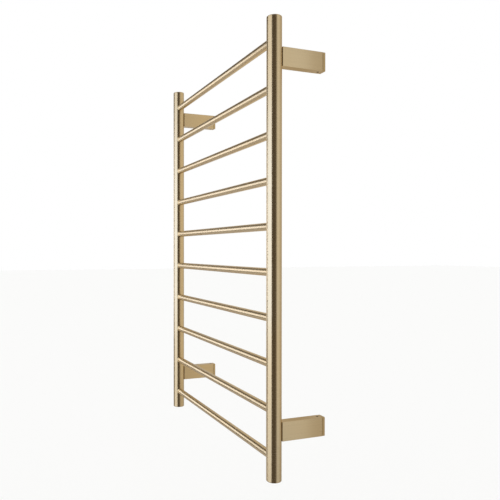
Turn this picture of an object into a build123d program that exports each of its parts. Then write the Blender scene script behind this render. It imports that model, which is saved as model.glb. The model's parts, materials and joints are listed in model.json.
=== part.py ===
"""Wall-mounted towel warmer rack: a ladder of round tubes on four box-section arms.

Frame: the origin is on the wall, at the centre of the four wall screws. +Z is up, +Y points into
the wall and -Y into the room, so "left" and "right" are as seen by someone who faces the rack.
All sizes are in millimetres.
"""
from build123d import *
from math import sqrt
import os

os.makedirs("parts", exist_ok=True)

# ---------------------------------------------------------------- driving dimensions

# The ladder
rack_height = 900.0          # uprights, end to end
upright_spacing = 570.0      # between the upright axes
upright_radius = 15.0
upright_wall = 1.2
bar_count = 10
bar_overhang = 45.0          # end of the uprights to the axis of the nearest bar
bar_radius = 8.0
bar_wall = 1.0
cap_thickness = 3.0
cap_edge_radius = 1.5
cap_spigot_length = 6.0

# Where the ladder stands
upright_standoff = 110.0     # wall to upright axis
top_arm_drop = 77.0          # arm axis below the top of the uprights
bottom_arm_rise = 96.0       # arm axis above the bottom of the uprights

# Wall arms
arm_width = 19.0
arm_height = 38.0
arm_wall = 1.5
arm_plate = 2.0              # closed front end, at its thinnest
arm_saddle_depth = 1.5       # how deep the front end is hollowed to the round of the upright
arm_corner_radius = 1.0

# Wall bosses
flange_thickness = 6.0
flange_corner_radius = 1.6
boss_length = 25.0           # the block that the arm slides over
boss_lead_in = 0.8           # chamfer round the front of the block
wall_screw_radius = 2.6
wall_screw_head_radius = 5.0
wall_screw_head_depth = 5.0

# Grub screws and their nuts
grub_distance = 12.0         # wall to grub screw axis
grub_radius = 2.5
grub_length = 5.0
grub_chamfer = 0.3
grub_socket = 2.5            # across flats
grub_socket_depth = 2.4
nut_radius = 4.5
nut_height = 3.5

# Screws that hold the arms to the uprights
screw_radius = 3.0
screw_length = 12.0
screw_head_radius = 5.0
screw_head_height = 6.0
screw_socket = 5.0           # across flats
screw_socket_depth = 3.0
washer_radius = 5.4
washer_thickness = 1.2
insert_radius = 5.0
insert_length = 8.0

# Heating cable and wiring
cable_radius = 2.0
supply_flex_radius = 3.25
cable_end_inset = 45.0       # heating cable stops this far before the end of the top bar
lead_bend_radius = 10.0
entry_radius = 4.7           # hole for the supply flex in the wall boss
grommet_lip = 1.0
lead_hole_radius = 3.5
seal_wall = 0.2
seal_length = 12.0
sleeve_radius = 3.2
sleeve_length = 14.0
cutout_radius = 4.5
cutout_length = 14.0
block_height = 13.0
block_length = 22.0
pole_count = 3
pole_radius = 1.4
pole_side_wall = 0.4
pole_middle_wall = 2.0       # between the two halves of a pole
pole_screw_radius = 1.25
pole_screw_length = 4.0
pole_screw_inset = 5.0
stud_radius = 2.0
stud_length = 9.0
stud_rise = 9.0              # above the arm axis
lug_radius = 4.0
lug_thickness = 0.8
earth_nut_flats = 7.0
earth_nut_height = 3.2

# Clearances
slide_clearance = 0.3        # boss to arm, and arm to flange
thread_clearance = 0.05      # radial, between a screw and its thread
hole_clearance = 0.1         # radial, around what is welded, pressed in or seated
tip_clearance = 0.1          # grub screw tip to the boss, screw let go by a turn
cable_clearance = 0.3        # cable to the tube it lies in
block_clearance = 1.0        # terminal block to the sides of the arm

# ---------------------------------------------------------------- derived values

upright_x = upright_spacing / 2
upright_y = -upright_standoff
upright_bore = upright_radius - upright_wall
bar_bore = bar_radius - bar_wall
bar_hole_radius = bar_radius + hole_clearance

arm_spacing = rack_height - top_arm_drop - bottom_arm_rise
upright_top = arm_spacing / 2 + top_arm_drop
upright_bottom = upright_top - rack_height
tube_length = rack_height - 2 * cap_thickness
bar_pitch = (rack_height - 2 * bar_overhang) / (bar_count - 1)
bar_heights = [upright_top - bar_overhang - i * bar_pitch for i in range(bar_count)]
# A bar ends just inside the upright, where its sides have cleared the wall of the tube.
bar_end = upright_x - sqrt(upright_bore**2 - bar_radius**2)

arm_back = flange_thickness + slide_clearance
arm_front = upright_standoff - upright_radius
arm_end = arm_front + arm_saddle_depth
arm_length = arm_end - arm_back
arm_bore_width = arm_width - 2 * arm_wall
arm_bore_height = arm_height - 2 * arm_wall
plate_back = arm_front - arm_plate
boss_width = arm_bore_width - 2 * slide_clearance
boss_height = arm_bore_height - 2 * slide_clearance
boss_front = flange_thickness + boss_length
nut_slot_width = 2 * (nut_radius + slide_clearance)
nut_slot_depth = nut_height + slide_clearance
boss_slot_floor = arm_bore_height / 2 - nut_height - slide_clearance

SIDES = {"left": -1, "right": 1}
LEVELS = {"top": arm_spacing / 2, "bottom": -arm_spacing / 2}
# The grub screws are under the top arms and on top of the bottom ones.
GRUB_SIDE = {"top": -1, "bottom": 1}
ARMS = [(level, side) for level in LEVELS for side in SIDES]
WIRED_ARM = ("bottom", "right")

# The flex comes in level with the middle of the terminal block, which stands on the arm's floor.
cable_drop = (arm_bore_height - block_height) / 2
entry_x = upright_x
entry_z = LEVELS["bottom"] - cable_drop
# The arm screws sit on the axis of the arm, or higher where the lead's grommet needs the room.
lead_lip_radius = lead_hole_radius + grommet_lip
screw_rise = max(0, washer_radius + lead_lip_radius + slide_clearance - cable_drop)


def facing_room(x, distance, z):
    """A plane parallel to the wall, this far from it, whose normal points into the room."""
    return Plane(origin=(x, -distance, z), x_dir=(1, 0, 0), z_dir=(0, -1, 0))


def save(piece, name):
    """Label a finished piece and write it under its node name."""
    piece.part.label = name
    export_step(piece.part, f"parts/{name}.step")


# ---------------------------------------------------------------- ladder


def make_upright(side):
    """One upright tube, drilled for the bars, the arm inserts and, on the right, the lead."""
    x = SIDES[side] * upright_x
    with BuildPart() as upright:
        with BuildSketch(Plane((x, upright_y, upright_bottom + cap_thickness))):
            Circle(upright_radius)
            Circle(upright_bore, mode=Mode.SUBTRACT)
        extrude(amount=tube_length)
        with BuildSketch(Plane.YZ.offset(x)):
            with Locations(*[(upright_y, z) for z in bar_heights]):
                Circle(bar_hole_radius)
        extrude(amount=-SIDES[side] * upright_radius, mode=Mode.SUBTRACT)
        with BuildSketch(Plane.XZ.offset(upright_standoff)):
            with Locations(*[(x, z + screw_rise) for z in LEVELS.values()]):
                Circle(insert_radius + hole_clearance)
            if side == WIRED_ARM[1]:
                with Locations((entry_x, entry_z)):
                    Circle(lead_hole_radius)
        extrude(amount=-upright_radius, mode=Mode.SUBTRACT)
    save(upright, f"upright_{side}")


def make_cap(level, side):
    """The welded end cap of an upright: a disc with a rounded rim and a spigot inside the tube."""
    outward = 1 if level == "top" else -1
    end = upright_top if level == "top" else upright_bottom
    seat = Plane(
        origin=(SIDES[side] * upright_x, upright_y, end - outward * cap_thickness),
        x_dir=(1, 0, 0),
        z_dir=(0, 0, outward),
    )
    with BuildPart() as cap:
        with BuildSketch(seat):
            Circle(upright_radius)
        extrude(amount=cap_thickness)
        rim = cap.edges().filter_by(GeomType.CIRCLE).sort_by(Axis.Z)[-1 if level == "top" else 0]
        fillet(rim, cap_edge_radius)
        with BuildSketch(seat):
            Circle(upright_bore - hole_clearance)
        extrude(amount=-cap_spigot_length)
    save(cap, f"upright_cap_{level}_{side}")


def make_bar(number, z):
    """One horizontal bar, a plain tube that reaches into both uprights."""
    with BuildPart() as bar:
        with BuildSketch(Plane((0, upright_y, z), z_dir=(1, 0, 0))):
            Circle(bar_radius)
            Circle(bar_bore, mode=Mode.SUBTRACT)
        extrude(amount=bar_end, both=True)
    save(bar, f"bar_{number:02d}")


# ---------------------------------------------------------------- wall arms


def make_arm(level, side):
    """A box-section arm whose closed front end is a saddle for the upright, with a grub screw hole."""
    x = SIDES[side] * upright_x
    z = LEVELS[level]
    outward = GRUB_SIDE[level]
    with BuildPart() as arm:
        with BuildSketch(facing_room(x, arm_back, z)):
            RectangleRounded(arm_width, arm_height, arm_corner_radius)
        extrude(amount=arm_length)
        with BuildSketch(facing_room(x, arm_back, z)):
            Rectangle(arm_bore_width, arm_bore_height)
        extrude(amount=plate_back - arm_back, mode=Mode.SUBTRACT)
        with BuildSketch(Plane((x, upright_y, z - arm_height / 2))):
            Circle(upright_radius + hole_clearance)
        extrude(amount=arm_height, mode=Mode.SUBTRACT)
        with Locations(facing_room(x, arm_end, z + screw_rise)):
            Hole(screw_radius + hole_clearance, depth=arm_end - plate_back)
        if (level, side) == WIRED_ARM:
            with Locations(facing_room(entry_x, arm_end, entry_z)):
                Hole(lead_hole_radius, depth=arm_end - plate_back)
        grub_face = Plane((x, -grub_distance, z + outward * arm_height / 2), z_dir=(0, 0, outward))
        with Locations(grub_face):
            Hole(grub_radius + hole_clearance, depth=arm_wall)
    save(arm, f"arm_{level}_{side}")


def arm_screw_plane(level, side, distance):
    """The plane across an arm screw's axis, this far from the wall."""
    return facing_room(SIDES[side] * upright_x, distance, LEVELS[level] + screw_rise)


def make_insert(level, side):
    """The threaded bush welded into the back of an upright and dressed flush with its round."""
    screw_height = LEVELS[level] + screw_rise
    with BuildPart() as insert:
        with BuildSketch(arm_screw_plane(level, side, arm_front)):
            Circle(insert_radius)
            Circle(screw_radius + thread_clearance, mode=Mode.SUBTRACT)
        extrude(amount=insert_length)
        with BuildSketch(Plane((SIDES[side] * upright_x, upright_y, screw_height - insert_radius))):
            Circle(upright_radius)
        extrude(amount=2 * insert_radius, mode=Mode.INTERSECT)
    save(insert, f"upright_insert_{level}_{side}")


def make_washer(level, side):
    """The plain washer under the arm screw's head."""
    with BuildPart() as washer:
        with BuildSketch(arm_screw_plane(level, side, plate_back)):
            Circle(washer_radius)
            Circle(screw_radius + hole_clearance, mode=Mode.SUBTRACT)
        extrude(amount=-washer_thickness)
    save(washer, f"arm_screw_washer_{level}_{side}")


def make_arm_screw(level, side):
    """The socket-head screw inside the arm, through the front plate into the upright."""
    head_seat = arm_screw_plane(level, side, plate_back - washer_thickness)
    with BuildPart() as screw:
        with BuildSketch(head_seat):
            Circle(screw_radius)
        extrude(amount=screw_length)
        with BuildSketch(head_seat):
            Circle(screw_head_radius)
        extrude(amount=-screw_head_height)
        with BuildSketch(head_seat.offset(-screw_head_height)):
            RegularPolygon(screw_socket / 2, 6, major_radius=False)
        extrude(amount=screw_socket_depth, mode=Mode.SUBTRACT)
    save(screw, f"arm_screw_{level}_{side}")


# ---------------------------------------------------------------- wall bosses


def make_boss(level, side):
    """A wall boss: the flange that shows, and the block that the arm slides over."""
    x = SIDES[side] * upright_x
    z = LEVELS[level]
    outward = GRUB_SIDE[level]
    slot_middle = outward * (boss_slot_floor + nut_slot_depth / 2)
    with BuildPart() as boss:
        with BuildSketch(facing_room(x, 0, z)):
            RectangleRounded(arm_width, arm_height, flange_corner_radius)
        extrude(amount=flange_thickness)
        with BuildSketch(facing_room(x, flange_thickness, z)):
            Rectangle(boss_width, boss_height)
        extrude(amount=boss_length)
        chamfer(boss.faces().sort_by(Axis.Y)[0].edges(), boss_lead_in)
        with BuildSketch(facing_room(x, flange_thickness, z)):
            with Locations((0, slot_middle)):
                Rectangle(nut_slot_width, nut_slot_depth)
        extrude(amount=boss_length, mode=Mode.SUBTRACT)
        with Locations(facing_room(x, boss_front, z)):
            CounterBoreHole(
                wall_screw_radius,
                wall_screw_head_radius,
                wall_screw_head_depth,
                depth=boss_front,
            )
        if (level, side) == WIRED_ARM:
            with Locations(facing_room(entry_x, boss_front, entry_z)):
                Hole(entry_radius, depth=boss_front)
    save(boss, f"wall_boss_{level}_{side}")


def make_nut(level, side):
    """The tapped bush welded inside an arm, which the grub screw turns in."""
    outward = GRUB_SIDE[level]
    seat = LEVELS[level] + outward * arm_bore_height / 2
    with BuildPart() as nut:
        with BuildSketch(Plane((SIDES[side] * upright_x, -grub_distance, seat), z_dir=(0, 0, outward))):
            Circle(nut_radius)
            Circle(grub_radius + thread_clearance, mode=Mode.SUBTRACT)
        extrude(amount=-nut_height)
    save(nut, f"grub_nut_{level}_{side}")


def make_grub_screw(level, side):
    """A hexagon-socket grub screw that locks an arm to its boss."""
    outward = GRUB_SIDE[level]
    tip = LEVELS[level] + outward * (boss_slot_floor + tip_clearance)
    base = Plane((SIDES[side] * upright_x, -grub_distance, tip), z_dir=(0, 0, outward))
    with BuildPart() as grub:
        with BuildSketch(base):
            Circle(grub_radius)
        extrude(amount=grub_length)
        chamfer(grub.edges().filter_by(GeomType.CIRCLE), grub_chamfer)
        with BuildSketch(base.offset(grub_length)):
            RegularPolygon(grub_socket / 2, 6, major_radius=False)
        extrude(amount=-grub_socket_depth, mode=Mode.SUBTRACT)
    save(grub, f"grub_screw_{level}_{side}")


# ---------------------------------------------------------------- heating cable and wiring

# The heating cable lies on the bottom of each bar and on the outer side of each upright.
cable_sag = bar_bore - cable_radius - cable_clearance
run_x = upright_x + upright_bore - cable_radius - cable_clearance
run_radius = run_x - bar_end
lead_top = entry_z - lead_bend_radius
cable_joint = lead_top - sleeve_length / 2 - cable_clearance
# Along the wired arm, terminal block and cut-out share the room between boss and grommet evenly.
wiring_room = plate_back - grommet_lip - boss_front
wiring_gap = (wiring_room - block_length - cutout_length) / 3
block_back = boss_front + wiring_gap
block_front = block_back + block_length
cutout_back = block_front + wiring_gap
block_width = arm_bore_width - 2 * block_clearance
pole_pitch = (block_width - 2 * pole_side_wall) / pole_count
cable_stop = bar_end - cable_end_inset


def cable_route():
    """Points and bend radii of the heating cable, from the joint sleeve to the end of the top bar."""
    levels = [z - cable_sag for z in reversed(bar_heights)]
    first_bend = min(lead_bend_radius, cable_joint - levels[0] - sleeve_length / 2)
    points = [(entry_x, upright_y, cable_joint), (entry_x, upright_y, levels[0])]
    radii = [first_bend]
    side = -1
    for lower, upper in zip(levels, levels[1:]):
        points.append((side * run_x, upright_y, lower))
        points.append((side * run_x, upright_y, upper))
        radii.extend([run_radius, run_radius])
        side = -side
    points.append((side * cable_stop, upright_y, levels[-1]))
    return points, radii


def make_heating_cable():
    """The single-ended heating cable: one run through every bar, turning inside the uprights."""
    points, radii = cable_route()
    with BuildPart() as cable:
        with BuildLine():
            FilletPolyline(*points, radius=radii)
        with BuildSketch(Plane(points[0], z_dir=(0, 0, -1))):
            Circle(cable_radius)
        sweep()
    save(cable, "heating_cable")


def make_cable_lead():
    """The unheated lead, from the terminal block through the arm and down inside the upright."""
    start = (entry_x, -block_front, entry_z)
    with BuildPart() as lead:
        with BuildLine():
            FilletPolyline(
                start,
                (entry_x, upright_y, entry_z),
                (entry_x, upright_y, cable_joint),
                radius=lead_bend_radius,
            )
        with BuildSketch(facing_room(entry_x, block_front, entry_z)):
            Circle(cable_radius)
        sweep()
    save(lead, "cable_lead")


def make_joint_sleeve():
    """The crimped sleeve over the butt joint of lead and heating cable."""
    with BuildPart() as sleeve:
        with BuildSketch(Plane((entry_x, upright_y, cable_joint - sleeve_length / 2))):
            Circle(sleeve_radius)
            Circle(cable_radius + thread_clearance, mode=Mode.SUBTRACT)
        extrude(amount=sleeve_length)
    save(sleeve, "cable_joint_sleeve")


def make_end_seal():
    """The closed cap over the far end of the heating cable, inside the top bar."""
    direction = 1 if bar_count % 2 == 0 else -1
    origin = (direction * cable_stop, upright_y, bar_heights[0] - cable_sag)
    end = Plane(origin, z_dir=(direction, 0, 0))
    with BuildPart() as seal:
        with BuildSketch(end.offset(-seal_length / 2)):
            Circle(cable_radius + thread_clearance + seal_wall)
        extrude(amount=seal_length)
        with BuildSketch(end.offset(-seal_length / 2)):
            Circle(cable_radius + thread_clearance)
        extrude(amount=seal_length / 2, mode=Mode.SUBTRACT)
    save(seal, "cable_end_seal")


def make_cutout():
    """The thermal cut-out threaded on the lead, inside the arm."""
    with BuildPart() as cutout:
        with BuildSketch(facing_room(entry_x, cutout_back, entry_z)):
            Circle(cutout_radius)
            Circle(cable_radius + thread_clearance, mode=Mode.SUBTRACT)
        extrude(amount=cutout_length)
    save(cutout, "thermal_cutout")


def make_lead_grommet():
    """The rubber bush that takes the lead through the arm's plate into the upright."""
    with BuildPart() as grommet:
        with BuildSketch(facing_room(entry_x, plate_back, entry_z)):
            Circle(lead_lip_radius)
        extrude(amount=-grommet_lip)
        with BuildSketch(facing_room(entry_x, plate_back, entry_z)):
            Circle(lead_hole_radius - hole_clearance)
        extrude(amount=arm_plate + upright_wall)
        with Locations(facing_room(entry_x, arm_front + upright_wall, entry_z)):
            Hole(cable_radius + hole_clearance)
    save(grommet, "lead_grommet")


def make_terminal_block():
    """The terminal block on the floor of the bottom right arm."""
    top = Plane.XY.offset(entry_z + block_height / 2)
    poles = [pole_pitch * (i - (pole_count - 1) / 2) for i in range(pole_count)]
    screw_rows = [-(block_back + pole_screw_inset), -(block_front - pole_screw_inset)]
    screw_places = [(entry_x + pole, row) for pole in poles for row in screw_rows]
    with BuildPart() as block:
        with BuildSketch(facing_room(entry_x, block_back, entry_z)):
            Rectangle(block_width, block_height)
        extrude(amount=block_length)
        with BuildSketch(facing_room(entry_x, block_back, entry_z)):
            with Locations(*[(pole, 0) for pole in poles]):
                Circle(pole_radius)
        extrude(amount=(block_length - pole_middle_wall) / 2, mode=Mode.SUBTRACT)
        with BuildSketch(top):
            with Locations(*screw_places):
                Circle(pole_screw_radius + thread_clearance)
        extrude(amount=-pole_screw_length, mode=Mode.SUBTRACT)
    save(block, "terminal_block")
    with BuildPart() as screws:
        with BuildSketch(top):
            with Locations(*screw_places):
                Circle(pole_screw_radius)
        extrude(amount=-pole_screw_length)
    save(screws, "terminal_screws")


def make_earth_point():
    """The earth stud on the side wall of the wired arm, with its ring terminal and nut."""
    wall = entry_x + arm_bore_width / 2
    distance = block_back + block_length / 2
    stud_seat = Plane((wall, -distance, LEVELS["bottom"] + stud_rise), z_dir=(-1, 0, 0))
    with BuildPart() as stud:
        with BuildSketch(stud_seat):
            Circle(stud_radius)
        extrude(amount=stud_length)
    save(stud, "earth_stud")
    with BuildPart() as lug:
        with BuildSketch(stud_seat):
            Circle(lug_radius)
            Circle(stud_radius + hole_clearance, mode=Mode.SUBTRACT)
        extrude(amount=lug_thickness)
    save(lug, "earth_ring")
    with BuildPart() as nut:
        with BuildSketch(stud_seat.offset(lug_thickness)):
            RegularPolygon(earth_nut_flats / 2, 6, major_radius=False)
            Circle(stud_radius + thread_clearance, mode=Mode.SUBTRACT)
        extrude(amount=earth_nut_height)
    save(nut, "earth_nut")


def make_cable_grommet():
    """The rubber grommet in the wired wall boss, where the supply flex comes in."""
    with BuildPart() as grommet:
        with BuildSketch(facing_room(entry_x, 0, entry_z)):
            Circle(entry_radius - hole_clearance)
            Circle(supply_flex_radius, mode=Mode.SUBTRACT)
        extrude(amount=boss_front)
    save(grommet, "cable_grommet")


for side in SIDES:
    make_upright(side)
for number, z in enumerate(bar_heights, start=1):
    make_bar(number, z)
for level, side in ARMS:
    make_cap(level, side)
    make_arm(level, side)
    make_insert(level, side)
    make_washer(level, side)
    make_arm_screw(level, side)
    make_boss(level, side)
    make_nut(level, side)
    make_grub_screw(level, side)
make_heating_cable()
make_cable_lead()
make_joint_sleeve()
make_end_seal()
make_cutout()
make_lead_grommet()
make_terminal_block()
make_earth_point()
make_cable_grommet()
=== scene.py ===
"""Looks of a wall-mounted towel warmer rack in brushed champagne-coloured stainless steel.

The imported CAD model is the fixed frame. The pieces that show (uprights, bars, arms, wall bosses,
grub screws and the cable grommet) are rebuilt here as fine meshes in the same places; the wiring
and the hidden hardware keep their CAD shapes and get their materials here.
Lengths are in metres and +Z is up; the wall is the plane Y = 0 and the room lies towards -Y.
"""

import json
import logging
import math
from collections.abc import Iterable, Sequence
from dataclasses import dataclass
from enum import Enum

import bmesh
import bpy
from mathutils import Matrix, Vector


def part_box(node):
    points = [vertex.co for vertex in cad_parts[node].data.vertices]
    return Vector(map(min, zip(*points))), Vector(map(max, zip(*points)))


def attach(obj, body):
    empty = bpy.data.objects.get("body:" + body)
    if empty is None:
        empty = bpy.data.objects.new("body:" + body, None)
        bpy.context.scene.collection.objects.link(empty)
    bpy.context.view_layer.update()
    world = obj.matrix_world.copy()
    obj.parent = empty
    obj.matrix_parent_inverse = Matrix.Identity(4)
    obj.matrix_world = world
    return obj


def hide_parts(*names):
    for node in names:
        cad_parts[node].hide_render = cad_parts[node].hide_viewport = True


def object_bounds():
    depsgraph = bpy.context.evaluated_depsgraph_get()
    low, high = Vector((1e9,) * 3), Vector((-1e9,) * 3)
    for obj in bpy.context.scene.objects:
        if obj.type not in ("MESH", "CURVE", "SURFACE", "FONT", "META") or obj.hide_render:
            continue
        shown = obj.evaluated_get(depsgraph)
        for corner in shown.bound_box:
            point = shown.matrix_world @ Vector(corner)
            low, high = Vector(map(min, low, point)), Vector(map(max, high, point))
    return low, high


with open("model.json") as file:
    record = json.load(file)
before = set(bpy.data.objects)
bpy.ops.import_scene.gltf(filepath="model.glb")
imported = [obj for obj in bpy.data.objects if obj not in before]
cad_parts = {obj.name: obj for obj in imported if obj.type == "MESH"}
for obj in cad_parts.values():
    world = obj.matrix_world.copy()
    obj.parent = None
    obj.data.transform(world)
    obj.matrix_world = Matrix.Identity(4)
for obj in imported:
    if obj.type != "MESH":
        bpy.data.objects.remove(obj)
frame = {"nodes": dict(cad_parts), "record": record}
CAD_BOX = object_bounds()

LOG = logging.getLogger("towel_warmer_rack")
MM = 0.001
SAME_PLACE = 1e-7        # points nearer than this are one point
NO_LENGTH = 1e-8         # edges shorter than this are dissolved
FLAT_WEIGHT = 90         # how far large faces steer the normals at their edges, out of 100
HARD_ANGLE = 32.0        # edges sharper than this, in degrees, stay hard
HOLE_SEGMENTS = 48
THREAD_SHARE = 0.9       # share of a grub screw's length that has thread
NOISE_SPAN = (0.3, 0.7)  # most of a noise pattern lies between these heights
MIX = ("Factor", 4, 5)   # inputs of a mix node, with the numbers of its two vectors
MIX_RESULT = 1           # number of its mixed vector
RANGE = ("Value", "From Min", "From Max", "To Min", "To Max")    # inputs of a map range node

Span = tuple[float, float]
Point = tuple[float, float, float]
Colour = tuple[float, float, float, float]
Mesh = bpy.types.Mesh
Material = bpy.types.Material
Piece = bpy.types.Object
Tree = bpy.types.NodeTree
Node = bpy.types.Node
Socket = bpy.types.NodeSocket


class Side(Enum):
    """The two sides of the rack, as someone in the room sees them."""

    LEFT = "left"
    RIGHT = "right"


class Level(Enum):
    """The two levels at which the rack is held."""

    TOP = "top"
    BOTTOM = "bottom"


class Axis(Enum):
    """An axis of the frame, by its number."""

    X = 0
    Y = 1
    Z = 2


class Grain(Enum):
    """Which way the scratches of a brushed surface run."""

    AROUND_Z = "rings round an upright"
    AROUND_X = "rings round a cross bar"
    ALONG_Y = "lines along a wall arm"
    NONE = "no direction, as cast or blasted"


# ---------------------------------------------------------------- small helpers


def linear(code: str) -> Colour:
    """Turn an sRGB hex colour into linear light.

    Args:
        code: A # and six hex digits.

    Returns:
        Linear red, green and blue, and an alpha of 1.
    """
    channels = [int(code[i:i + 2], 16) / 255 for i in (1, 3, 5)]
    light = [c / 12.92 if c <= 0.04045 else ((c + 0.055) / 1.055) ** 2.4 for c in channels]
    return (*light, 1.0)


def scaled(colour: Colour, factors: Point) -> Colour:
    """Return a colour with its red, green and blue multiplied by three factors."""
    return (*(part * factor for part, factor in zip(colour, factors)), 1.0)


def add_node(
    tree: Tree, kind: str, inputs: dict | None = None, stops: Sequence[tuple[float, Colour]] = (), **settings
) -> Node:
    """Add one node to a tree.

    Args:
        tree: The node tree.
        kind: The node's type name.
        inputs: Input name or number to a value, or to the output socket that feeds it.
        stops: (position, colour) pairs of a colour ramp, in order.
        **settings: Attributes of the node, set before its inputs.

    Returns:
        The new node.
    """
    node = tree.nodes.new(kind)
    for name, value in settings.items():
        setattr(node, name, value)
    for _ in stops[2:]:
        node.color_ramp.elements.new(1.0)
    for i, (position, colour) in enumerate(stops):
        node.color_ramp.elements[i].position = position
        node.color_ramp.elements[i].color = colour
    for key, value in (inputs or {}).items():
        if isinstance(value, Socket):
            tree.links.new(value, node.inputs[key])
        else:
            node.inputs[key].default_value = value
    return node


def box_of(node: str) -> tuple[Vector, Vector]:
    """Return the low and the high corner of a CAD node's box."""
    low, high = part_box(node)
    return Vector(low), Vector(high)


def centre_of(node: str) -> Vector:
    """Return the middle of a CAD node's box."""
    low, high = box_of(node)
    return (low + high) / 2


def size_of(node: str) -> Vector:
    """Return the size of a CAD node's box."""
    low, high = box_of(node)
    return high - low


def new_object(name: str, mesh: Mesh) -> Piece:
    """Put a mesh into the scene as an object at the origin.

    Args:
        name: Name of the object.
        mesh: The mesh.

    Returns:
        The object.
    """
    piece = bpy.data.objects.new(name, mesh)
    bpy.context.scene.collection.objects.link(piece)
    return piece


def settle(work: Piece, name: str) -> Mesh:
    """Keep what an object's modifiers make as a plain mesh, and remove the object.

    Args:
        work: The object.
        name: Name of the mesh.

    Returns:
        The mesh.
    """
    mesh = bpy.data.meshes.new_from_object(work.evaluated_get(bpy.context.evaluated_depsgraph_get()))
    mesh.name = name
    bpy.data.objects.remove(work, do_unlink=True)
    return mesh


def mesh_from(name: str, shape: bmesh.types.BMesh) -> Mesh:
    """Close up a bmesh, turn its faces outwards and return it as a mesh.

    Args:
        name: Name of the new mesh.
        shape: The bmesh, which is freed.

    Returns:
        The mesh.
    """
    bmesh.ops.remove_doubles(shape, verts=shape.verts, dist=SAME_PLACE)
    bmesh.ops.recalc_face_normals(shape, faces=shape.faces)
    mesh = bpy.data.meshes.new(name)
    shape.to_mesh(mesh)
    shape.free()
    return mesh


def skin(name: str, rings: Sequence[Sequence[Point]], end_faces: bool) -> Mesh:
    """Skin a row of rings that have equal numbers of points.

    Args:
        name: Name of the new mesh.
        rings: The rings, in order along the shape.
        end_faces: Whether the first and last rings get a face across them. Without one, they are
            poles, or they lie in the same place.

    Returns:
        A closed mesh.
    """
    shape = bmesh.new()
    rows = [[shape.verts.new(point) for point in ring] for ring in rings]
    count = len(rows[0])
    for lower, upper in zip(rows, rows[1:]):
        for i in range(count):
            j = (i + 1) % count
            shape.faces.new((lower[i], lower[j], upper[j], upper[i]))
    if end_faces:
        shape.faces.new(rows[0][::-1])
        shape.faces.new(rows[-1])
    else:
        bmesh.ops.dissolve_degenerate(shape, dist=NO_LENGTH, edges=shape.edges)
    return mesh_from(name, shape)


def lathe(
    name: str, profile: Iterable[Span], centre: Vector, axis: Axis, segments: int = HOLE_SEGMENTS
) -> Mesh:
    """Turn a profile about an axis.

    Args:
        name: Name of the new mesh.
        profile: (radius, place along the axis) pairs; a zero radius makes a pole.
        centre: A point on the axis; its place along the axis isn't used.
        axis: The axis.
        segments: Number of flat strips round the shape.

    Returns:
        A closed mesh.
    """
    first, second = (i for i in range(3) if i != axis.value)
    rings = []
    for radius, place in profile:
        ring = []
        for step in range(segments):
            angle = 2 * math.pi * step / segments
            point = [place] * 3
            point[first] = centre[first] + radius * math.cos(angle)
            point[second] = centre[second] + radius * math.sin(angle)
            ring.append(tuple(point))
        rings.append(ring)
    return skin(name, rings, end_faces=False)


def rod(
    name: str, radius: float, reach: Span, centre: Vector, axis: Axis, segments: int = HOLE_SEGMENTS
) -> Mesh:
    """Make a plain cylinder.

    Args:
        name: Name of the new mesh.
        radius: Its radius.
        reach: Where it begins and ends along the axis.
        centre: A point on the axis.
        axis: The axis.
        segments: Number of flat strips round it.

    Returns:
        A closed mesh.
    """
    low, high = reach
    return lathe(name, [(0.0, low), (radius, low), (radius, high), (0.0, high)], centre, axis, segments)


def quarter(radius: float, steps: int) -> list[Span]:
    """Return (inset, rise) pairs of a rounded edge, from its flat end face to its side."""
    turns = [math.pi / 2 * i / steps for i in range(steps + 1)]
    return [(radius * (1 - math.sin(turn)), radius * (1 - math.cos(turn))) for turn in turns]


def rounded_outline(width: float, height: float, corner: float, steps: int) -> list[Span]:
    """Return the outline of a rectangle with rounded corners, about its middle.

    Args:
        width: Its width.
        height: Its height.
        corner: Radius of its corners.
        steps: Straight stretches in each corner.

    Returns:
        The outline's points.
    """
    points = []
    for quadrant in range(4):
        sign_x = 1 if quadrant in (0, 3) else -1
        sign_z = 1 if quadrant in (0, 1) else -1
        middle = (sign_x * (width / 2 - corner), sign_z * (height / 2 - corner))
        for step in range(steps + 1):
            angle = math.pi / 2 * (quadrant + step / steps)
            points.append((middle[0] + corner * math.cos(angle), middle[1] + corner * math.sin(angle)))
    return points


def prism(
    name: str, centre: Vector, size: Span, reach: Span, corner: float, edges: Span, steps: int = 6
) -> Mesh:
    """Make a bar of rounded rectangular section that runs along Y.

    Args:
        name: Name of the new mesh.
        centre: A point on its axis.
        size: Size along X and along Z.
        reach: Lowest and highest Y.
        corner: Radius of the four long edges.
        edges: Radius of the edges of the end face at the low and at the high Y.
        steps: Facets in each rounded corner.

    Returns:
        A closed mesh.
    """
    stations = [(inset, reach[0] + rise) for inset, rise in quarter(edges[0], steps)]
    stations += [(inset, reach[1] - rise) for inset, rise in reversed(quarter(edges[1], steps))]
    rings = []
    sharpest = corner / 4            # so that the outline keeps its corners on an end face
    for inset, y in stations:
        width, height = (side - 2 * inset for side in size)
        outline = rounded_outline(width, height, max(corner - inset, sharpest), steps)
        rings.append([(centre.x + x, y, centre.z + z) for x, z in outline])
    return skin(name, rings, end_faces=True)


def carve(name: str, body: Mesh, cuts: Sequence[Mesh], joined: Mesh | None = None) -> Mesh:
    """Add a mesh to another one and cut others from it.

    Args:
        name: Name of the result.
        body: The mesh to start from.
        cuts: The meshes that are cut away, in order.
        joined: A mesh that is added first.

    Returns:
        The finished mesh.
    """
    work = new_object(name + "_work", body)
    steps = [("UNION", joined)] if joined else []
    steps += [("DIFFERENCE", mesh) for mesh in cuts]
    helpers = []
    for operation, mesh in steps:
        helpers.append(new_object(name + "_tool", mesh))
        cut = work.modifiers.new("cut", "BOOLEAN")
        cut.operation = operation
        cut.solver = "EXACT"
        cut.object = helpers[-1]
    result = settle(work, name)
    for helper in helpers:
        bpy.data.objects.remove(helper, do_unlink=True)
    return result


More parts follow.
